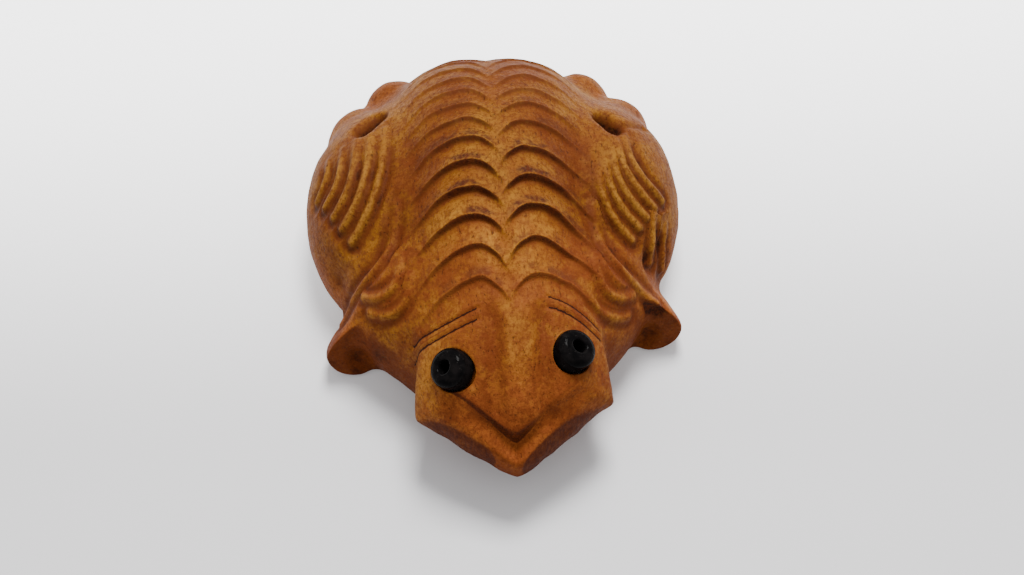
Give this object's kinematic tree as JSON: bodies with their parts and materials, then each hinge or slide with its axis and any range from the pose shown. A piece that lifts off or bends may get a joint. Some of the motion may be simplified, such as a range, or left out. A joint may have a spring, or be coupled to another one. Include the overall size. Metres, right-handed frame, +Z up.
{
  "type": "carved animal figure",
  "caption": "Squat carved wooden beast with a scaled hump back, ridged haunches, short legs, a V-shaped lip and inlaid black bead eyes.",
  "frame": {"origin": "centre of the bounding box, on the flat underside", "axes": "+Z up, -Y toward the head and lip, +X to the viewer's right when the figure is seen from its front; left and right in the node names are as seen from the front"},
  "size_m": [0.0414, 0.0519, 0.0195],
  "materials": {
    "carved_wood": "stained, oiled and hand rubbed",
    "black_glass": "polished opaque glass",
    "amber_glue": "set clear glue over stained wood"
  },
  "bodies": {
    "root": {"carved_body": "carved_wood", "eye_bead_left": "black_glass", "eye_bead_right": "black_glass", "eye_glue_left": "amber_glue", "eye_glue_right": "amber_glue"}
  },
  "joints": []
}
